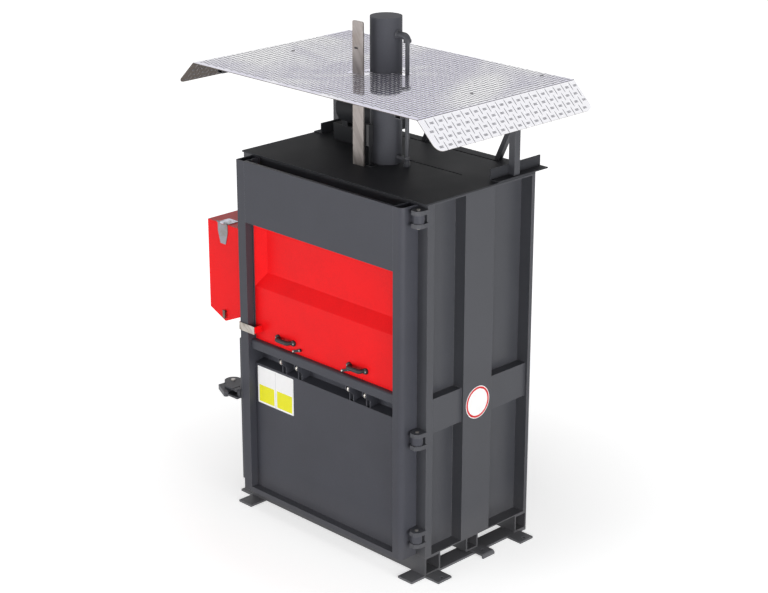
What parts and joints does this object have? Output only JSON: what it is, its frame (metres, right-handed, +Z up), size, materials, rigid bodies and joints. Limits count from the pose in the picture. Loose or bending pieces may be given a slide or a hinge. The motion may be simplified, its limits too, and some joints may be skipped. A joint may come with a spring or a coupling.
{
  "type": "recycling baler",
  "caption": "Vertical waste baler: hinged front door with a rising gate, hydraulic press cylinder and platen, control box, strap slots and a folded tread-plate roof.",
  "frame": {"origin": "floor level, centre of the four corner anchor holes", "axes": "+Z up, -Y towards the front door, +X to the right of someone facing the door"},
  "size_m": [1.876, 1.114, 2.769],
  "materials": {
    "body_paint": "satin, slight orange peel",
    "door_paint": "satin",
    "red_paint": "satin",
    "bare_steel": "mill finish, scratched",
    "rod_chrome": "hard chrome",
    "tread_plate": "bright, raised bars",
    "bolt_zinc": "zinc plated",
    "black_plastic": "fine grain",
    "hinge_grey": "grey",
    "lever_paint": "satin",
    "green_plastic": "gloss",
    "red_plastic": "gloss",
    "plate_grey": "light grey",
    "switch_grey": "moulded",
    "motor_paint": "satin"
  },
  "bodies": {
    "body": {"base_runners": "body_paint", "base_tubes": "body_paint", "control_box": "red_paint", "control_plate": "plate_grey", "corner_feet": "body_paint", "cylinder_mount": "body_paint", "cylinder_tube": "body_paint", "floor_plate": "body_paint", "front_frame": "body_paint", "hinge_brackets": "body_paint", "latch_bracket": "body_paint", "lid_hinge_fixed": "hinge_grey", "limit_switch": "switch_grey", "middle_feet": "body_paint", "pivot_pins": "bare_steel", "power_pack_motor": "motor_paint", "power_pack_pump": "motor_paint", "power_pack_tank": "body_paint", "pressure_line": "body_paint", "rear_panel": "body_paint", "rear_uprights": "body_paint", "roof_bolts": "bolt_zinc", "roof_braces": "body_paint", "roof_posts": "body_paint", "roof_rails": "body_paint", "roof_sheet": "tread_plate", "side_belts": "body_paint", "side_panel_left": "body_paint", "side_panel_right": "body_paint", "side_stiffeners": "body_paint", "strap_reel_bar": "bare_steel", "top_angles": "body_paint", "top_plate": "body_paint"},
    "door": {"door_stile_left": "door_paint", "door_stile_right": "door_paint", "door_header": "door_paint", "lower_panel": "door_paint", "bottom_rail": "door_paint", "sill_bar": "door_paint", "strap_guides": "door_paint", "strap_rollers": "bare_steel", "gate_guides": "door_paint", "latch_keeper": "door_paint", "door_knuckles": "door_paint"},
    "gate": {"gate_panel": "red_paint", "gate_band": "bare_steel", "gate_handles": "black_plastic"},
    "lever_left_body": {"lever_left": "lever_paint"},
    "lever_right_body": {"lever_right": "lever_paint"},
    "press": {"platen": "body_paint", "piston_rod": "rod_chrome", "position_strap": "bare_steel"},
    "claw": {"latch_claw": "body_paint"},
    "lid": {"control_lid": "red_paint", "lid_hinge_moving": "hinge_grey"},
    "lock": {"lid_lock": "bare_steel"},
    "start": {"start_button": "green_plastic"},
    "stop": {"stop_button": "red_plastic"}
  },
  "joints": [
    {"name": "door_hinge", "type": "hinge", "parent": "body", "child": "door", "pos_m": [0.65, -0.405, 0], "axis": [0, 0, 1], "range_deg": [0, 180]},
    {"name": "gate_slide", "type": "slide", "parent": "door", "child": "gate", "axis": [0, 0, 1], "range_m": [0, 0.57]},
    {"name": "lever_left_turn", "type": "hinge", "parent": "gate", "child": "lever_left_body", "pos_m": [-0.181, -0.43, 1.037], "axis": [0, 1, 0], "range_deg": [0, 22]},
    {"name": "lever_right_turn", "type": "hinge", "parent": "gate", "child": "lever_right_body", "pos_m": [0.19, -0.43, 1.037], "axis": [0, 1, 0], "range_deg": [0, 22]},
    {"name": "press_slide", "type": "slide", "parent": "body", "child": "press", "axis": [0, 0, -1], "range_m": [0, 0.62]},
    {"name": "claw_turn", "type": "hinge", "parent": "body", "child": "claw", "pos_m": [-0.735, -0.43, 0.678], "axis": [0, 0, 1], "range_deg": [0, 25]},
    {"name": "lid_hinge", "type": "hinge", "parent": "body", "child": "lid", "pos_m": [-0.799, -0.4213, 1.593], "axis": [-1, 0, 0], "range_deg": [0, 110]},
    {"name": "lock_turn", "type": "hinge", "parent": "lid", "child": "lock", "pos_m": [-0.799, -0.4163, 1.087], "axis": [0, 1, 0], "range_deg": [0, 90]},
    {"name": "start_press", "type": "slide", "parent": "body", "child": "start", "axis": [0, 1, 0], "range_m": [0, 0.005], "stiffness_N_per_m": 600},
    {"name": "stop_press", "type": "slide", "parent": "body", "child": "stop", "axis": [0, 1, 0], "range_m": [0, 0.005], "stiffness_N_per_m": 600}
  ]
}
